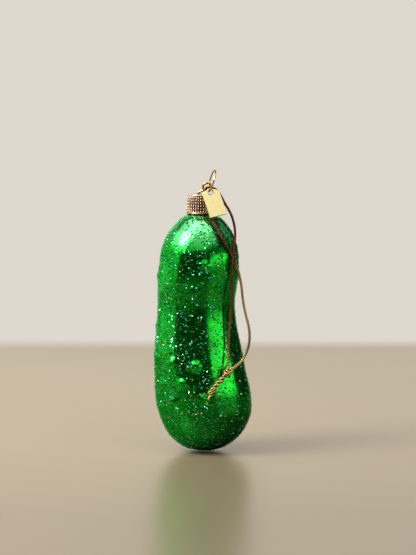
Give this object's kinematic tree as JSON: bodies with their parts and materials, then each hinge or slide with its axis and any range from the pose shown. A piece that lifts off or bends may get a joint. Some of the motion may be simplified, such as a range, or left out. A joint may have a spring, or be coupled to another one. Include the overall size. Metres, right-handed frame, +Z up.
{
  "type": "hanging glass ornament",
  "caption": "Blown glass pickle ornament, green and glittered, with a stamped metal cap, wire eye, jump ring, tag and a knotted metallic cord to hang it by.",
  "frame": {"origin": "centre of the wire eye over the cap, where a hook takes the ornament's weight", "axes": "+Z up along the hanging ornament, -Y towards the side with the tag and cord, +X to the right seen from that side"},
  "size_m": [0.037, 0.0386, 0.107],
  "materials": {
    "green_glass": "silvered inside, green lacquer and fine holographic glitter outside",
    "cap_metal": "thin stamped sheet, pale rose gold, ridged",
    "gold_wire": "drawn spring wire, gold washed",
    "ring_wire": "polished round wire, dark gold",
    "tag_metal": "pale gold, brushed, bare",
    "gold_cord": "gold metallic thread twisted round a dark red core"
  },
  "bodies": {
    "cap": {"cap": "cap_metal", "hanger_wire": "gold_wire"},
    "glass": {"glass_body": "green_glass"},
    "ring": {"jump_ring": "ring_wire", "cord_loop": "gold_cord", "cord_knot": "gold_cord", "cord_tail_long": "gold_cord", "cord_tail_short": "gold_cord"},
    "tag": {"tag": "tag_metal"}
  },
  "joints": [
    {"name": "glass_pull", "type": "slide", "parent": "cap", "child": "glass", "axis": [0, 0, -1], "range_m": [0, 0.02]},
    {"name": "ring_swing", "type": "hinge", "parent": "cap", "child": "ring", "pos_m": [0.0004, 0, -0.00045], "axis": [0, 1, 0], "range_deg": [-60, 0]},
    {"name": "tag_swing", "type": "hinge", "parent": "ring", "child": "tag", "pos_m": [0.00097, -0.00451, -0.00118], "axis": [0.2659, -0.8837, 0.3852], "range_deg": [-45, 45]}
  ]
}
